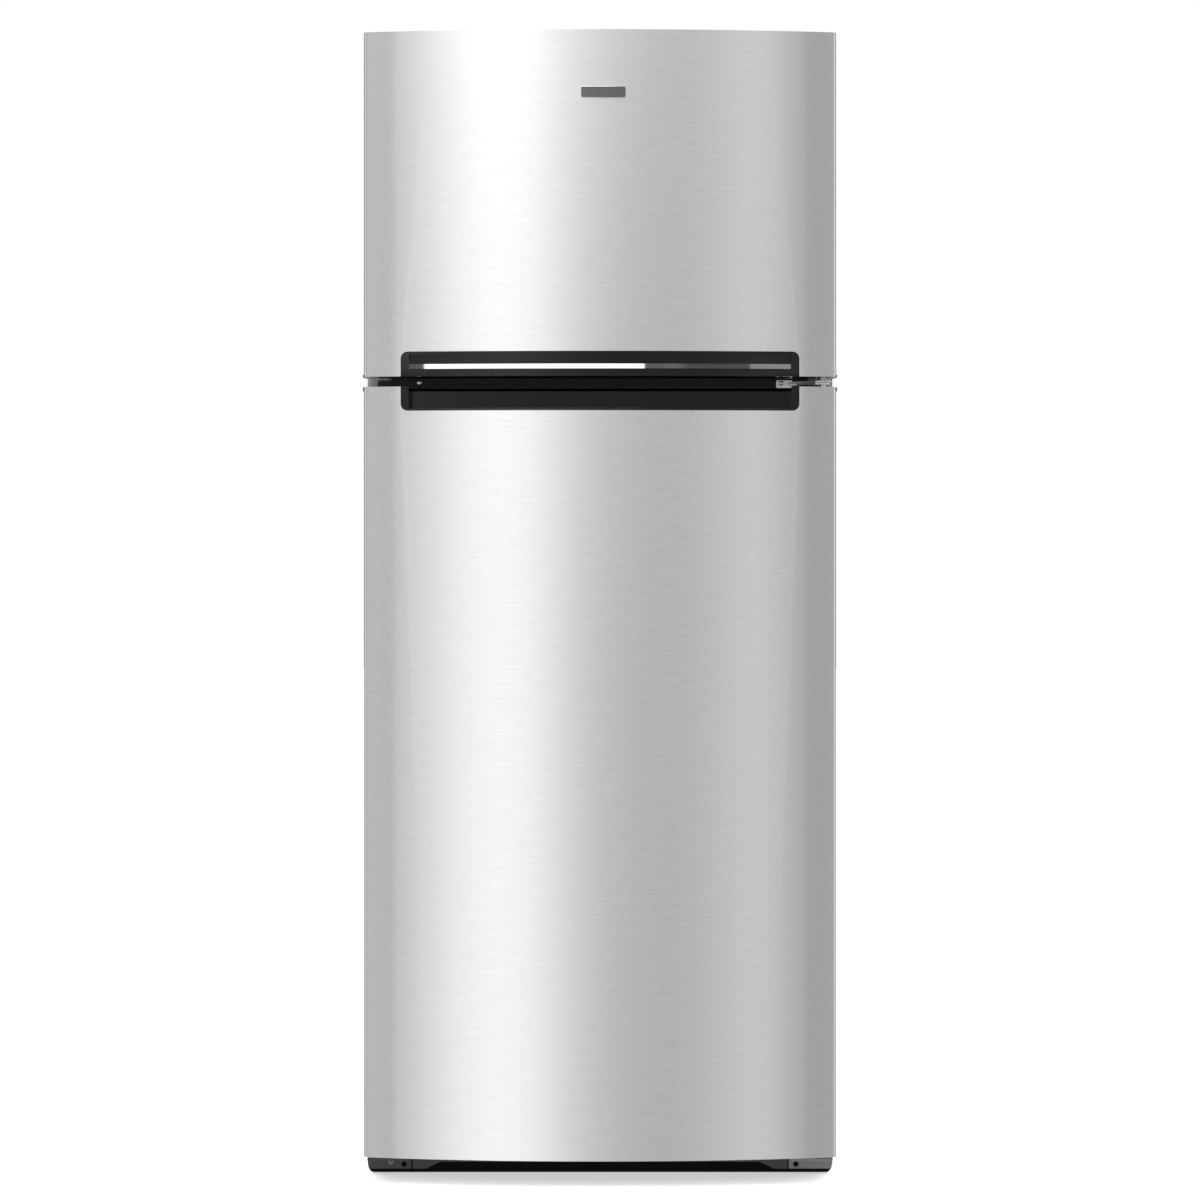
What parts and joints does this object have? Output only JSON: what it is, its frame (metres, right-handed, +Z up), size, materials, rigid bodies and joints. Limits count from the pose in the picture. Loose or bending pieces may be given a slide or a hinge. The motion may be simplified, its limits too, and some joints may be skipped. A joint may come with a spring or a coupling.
{
  "type": "top freezer refrigerator",
  "caption": "Upright refrigerator with a small freezer door above a tall fresh-food door, crowned stainless fronts, recessed black grips between them, shelves, bins and crispers inside.",
  "frame": {"origin": "on the floor, in the middle of the width and of the overall depth", "axes": "+Z up, +X to the right seen from the front, where the doors hinge, +Y towards the back"},
  "size_m": [0.71, 0.74, 1.721],
  "materials": {
    "stainless_steel": "vertically brushed, clear lacquered",
    "grey_paint": "textured light grey paint",
    "galvanised_steel": "zinc coated, satin",
    "chrome_plate": "bright plated",
    "black_gloss_plastic": "moulded, high gloss",
    "black_plastic": "moulded, fine texture",
    "dark_grey_plastic": "moulded, fine texture",
    "dark_grey_paint": "semi gloss paint",
    "white_plastic": "thermoformed or moulded, satin gloss",
    "grey_gasket": "soft PVC with a magnet strip",
    "clear_plastic": "clear moulded",
    "shelf_glass": "tempered, white trims along its edges",
    "insulation_foam": "foamed in place polyurethane",
    "black_enamel": "black enamel",
    "condenser_steel": "black paint on steel tube",
    "fin_aluminium": "bare mill finish",
    "white_coated_wire": "white plastic coating"
  },
  "bodies": {
    "cabinet": {"cabinet_shell": "grey_paint", "back_panel": "galvanised_steel", "bottom_deck": "galvanised_steel", "cabinet_foam": "insulation_foam", "freezer_liner": "white_plastic", "fridge_liner": "white_plastic", "mullion_rail": "black_plastic", "top_hinge": "galvanised_steel", "top_hinge_cover": "dark_grey_plastic", "center_hinge": "chrome_plate", "bottom_hinge": "galvanised_steel", "leg_bracket": "dark_grey_paint", "toe_grille": "black_plastic", "base_tray": "galvanised_steel", "compressor": "black_enamel", "condenser": "condenser_steel", "drain_pan": "black_plastic", "condenser_fan_motor": "dark_grey_paint", "machine_cover": "galvanised_steel", "cord_gland": "black_plastic", "evaporator": "fin_aluminium", "evaporator_cover": "white_plastic", "evaporator_fan_motor": "dark_grey_paint", "freezer_shelf": "white_coated_wire", "control_housing": "white_plastic", "upper_shelf": "shelf_glass", "lower_shelf": "shelf_glass", "crisper_cover": "shelf_glass"},
    "freezer_door": {"freezer_door_skin": "stainless_steel", "freezer_door_foam": "insulation_foam", "freezer_door_liner": "white_plastic", "freezer_door_gasket": "grey_gasket", "freezer_handle": "black_gloss_plastic", "freezer_door_top_cap": "dark_grey_plastic", "badge": "chrome_plate", "freezer_lower_bin": "clear_plastic", "freezer_upper_bin": "clear_plastic"},
    "fridge_door": {"fridge_door_skin": "stainless_steel", "fridge_door_foam": "insulation_foam", "fridge_door_liner": "white_plastic", "fridge_door_gasket": "grey_gasket", "fridge_handle": "black_gloss_plastic", "fridge_door_bottom_cap": "dark_grey_plastic", "bottle_bin": "clear_plastic", "middle_bin": "clear_plastic", "dairy_bin": "clear_plastic"},
    "dairy_cover": {"dairy_lid": "clear_plastic"},
    "left_crisper_body": {"left_crisper": "clear_plastic"},
    "right_crisper_body": {"right_crisper": "clear_plastic"},
    "left_humidity_slide_body": {"left_humidity_slide": "white_plastic"},
    "right_humidity_slide_body": {"right_humidity_slide": "white_plastic"},
    "freezer_knob_body": {"freezer_knob": "dark_grey_plastic"},
    "fridge_knob_body": {"fridge_knob": "dark_grey_plastic"},
    "door_switch_body": {"door_switch": "white_plastic"},
    "condenser_fan_body": {"condenser_fan": "black_plastic"},
    "evaporator_fan_body": {"evaporator_fan": "black_plastic"},
    "left_foot_body": {"left_foot": "black_plastic"},
    "right_foot_body": {"right_foot": "black_plastic"},
    "left_roller_body": {"left_roller": "white_plastic"},
    "right_roller_body": {"right_roller": "white_plastic"}
  },
  "joints": [
    {"name": "freezer_door_hinge", "type": "hinge", "parent": "cabinet", "child": "freezer_door", "pos_m": [0.336, -0.3035, 1.22], "axis": [0, 0, 1], "range_deg": [0, 118]},
    {"name": "fridge_door_hinge", "type": "hinge", "parent": "cabinet", "child": "fridge_door", "pos_m": [0.336, -0.3035, 0.05], "axis": [0, 0, 1], "range_deg": [0, 118]},
    {"name": "dairy_lid_hinge", "type": "hinge", "parent": "fridge_door", "child": "dairy_cover", "pos_m": [0, -0.2585, 1.014], "axis": [1, 0, 0], "range_deg": [0, 85]},
    {"name": "left_crisper_slide", "type": "slide", "parent": "cabinet", "child": "left_crisper_body", "axis": [0, -1, 0], "range_m": [0, 0.055]},
    {"name": "right_crisper_slide", "type": "slide", "parent": "cabinet", "child": "right_crisper_body", "axis": [0, -1, 0], "range_m": [0, 0.055]},
    {"name": "left_humidity_travel", "type": "slide", "parent": "cabinet", "child": "left_humidity_slide_body", "axis": [1, 0, 0], "range_m": [-0.03, 0.03]},
    {"name": "right_humidity_travel", "type": "slide", "parent": "cabinet", "child": "right_humidity_slide_body", "axis": [1, 0, 0], "range_m": [-0.03, 0.03]},
    {"name": "freezer_knob_turn", "type": "hinge", "parent": "cabinet", "child": "freezer_knob_body", "pos_m": [-0.075, -0.15, 1.1415], "axis": [0, -1, 0], "range_deg": [-135, 135]},
    {"name": "fridge_knob_turn", "type": "hinge", "parent": "cabinet", "child": "fridge_knob_body", "pos_m": [0.075, -0.15, 1.1415], "axis": [0, -1, 0], "range_deg": [-135, 135]},
    {"name": "door_switch_press", "type": "slide", "parent": "cabinet", "child": "door_switch_body", "axis": [0, 1, 0], "range_m": [0, 0.004], "stiffness_N_per_m": 150, "springref_m": -0.006},
    {"name": "condenser_fan_spin", "type": "hinge", "parent": "cabinet", "child": "condenser_fan_body", "pos_m": [0, 0.26, 0.12], "axis": [1, 0, 0], "continuous": true},
    {"name": "evaporator_fan_spin", "type": "hinge", "parent": "cabinet", "child": "evaporator_fan_body", "pos_m": [0, 0.2577, 1.535], "axis": [0, 1, 0], "continuous": true},
    {"name": "left_foot_screw", "type": "hinge", "parent": "cabinet", "child": "left_foot_body", "pos_m": [-0.318, -0.245, 0], "axis": [0, 0, 1], "continuous": true},
    {"name": "right_foot_screw", "type": "hinge", "parent": "cabinet", "child": "right_foot_body", "pos_m": [0.318, -0.245, 0], "axis": [0, 0, 1], "continuous": true},
    {"name": "left_roller_spin", "type": "hinge", "parent": "cabinet", "child": "left_roller_body", "pos_m": [-0.322, 0.332, 0.017], "axis": [1, 0, 0], "continuous": true},
    {"name": "right_roller_spin", "type": "hinge", "parent": "cabinet", "child": "right_roller_body", "pos_m": [0.322, 0.332, 0.017], "axis": [1, 0, 0], "continuous": true}
  ]
}
